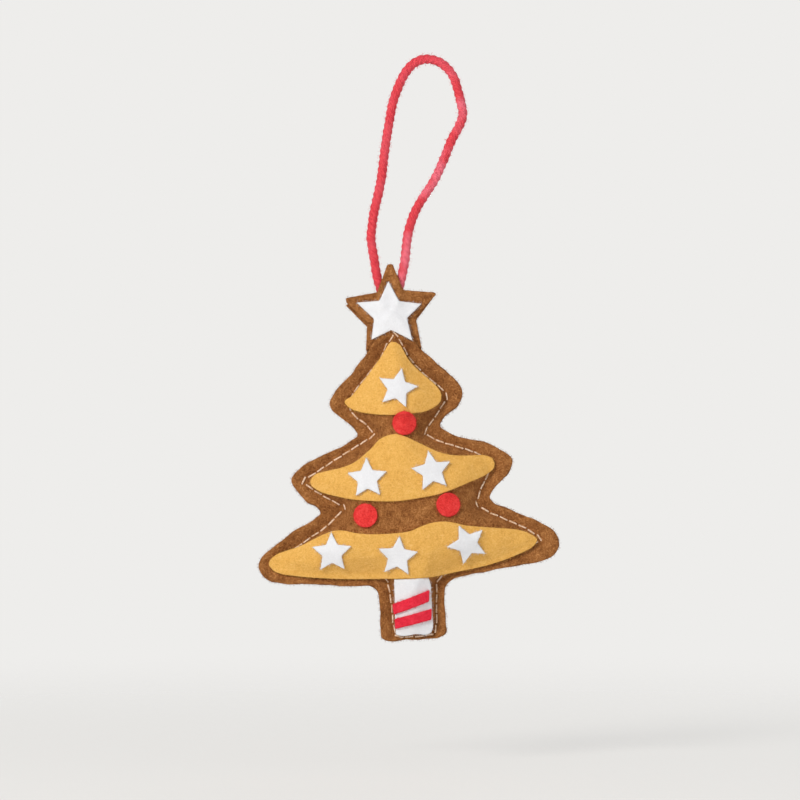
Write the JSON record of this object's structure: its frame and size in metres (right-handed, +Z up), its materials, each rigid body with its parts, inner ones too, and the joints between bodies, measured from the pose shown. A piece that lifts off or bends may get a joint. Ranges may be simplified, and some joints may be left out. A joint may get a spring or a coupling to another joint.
{
  "type": "stuffed felt tree ornament",
  "caption": "Stuffed felt tree ornament with glued felt trim, a layered star at the top and a yarn loop to hang it from a branch.",
  "frame": {"origin": "underside of the yarn loop's top, where it bears on whatever the ornament hangs from", "axes": "+Z up, +X to the right as seen from the front, the decorated front faces -Y"},
  "size_m": [0.1002, 0.0214, 0.1955],
  "materials": {
    "brown_felt": "matt felt with short fuzz",
    "gold_felt": "matt felt with short fuzz",
    "white_felt": "matt felt with short fuzz",
    "red_felt": "matt felt with short fuzz",
    "cream_thread": "soft twisted cotton",
    "red_yarn": "loosely twisted wool",
    "fibre_fill": "loose white fibre"
  },
  "bodies": {
    "loop": {"hanging_loop": "red_yarn"},
    "tree": {"tree_front": "brown_felt", "tree_back": "brown_felt", "stuffing": "fibre_fill", "seam_thread_front": "cream_thread", "seam_thread_back": "cream_thread", "star_front": "brown_felt", "star_back": "brown_felt", "star_white": "white_felt", "tier_top": "gold_felt", "tier_middle": "gold_felt", "tier_bottom": "gold_felt", "star_top_tier": "white_felt", "star_middle_left": "white_felt", "star_middle_right": "white_felt", "star_bottom_left": "white_felt", "star_bottom_centre": "white_felt", "star_bottom_right": "white_felt", "dot_upper": "red_felt", "dot_lower_left": "red_felt", "dot_lower_right": "red_felt", "trunk_patch": "white_felt", "trunk_stripe_upper": "red_felt", "trunk_stripe_lower": "red_felt", "loop_end_left": "red_yarn", "loop_end_right": "red_yarn"}
  },
  "joints": [
    {"name": "tree_swing", "type": "hinge", "parent": "loop", "child": "tree", "pos_m": [-0.012, 0, -0.0647], "axis": [1, 0, 0], "range_deg": [-90, 90]}
  ]
}
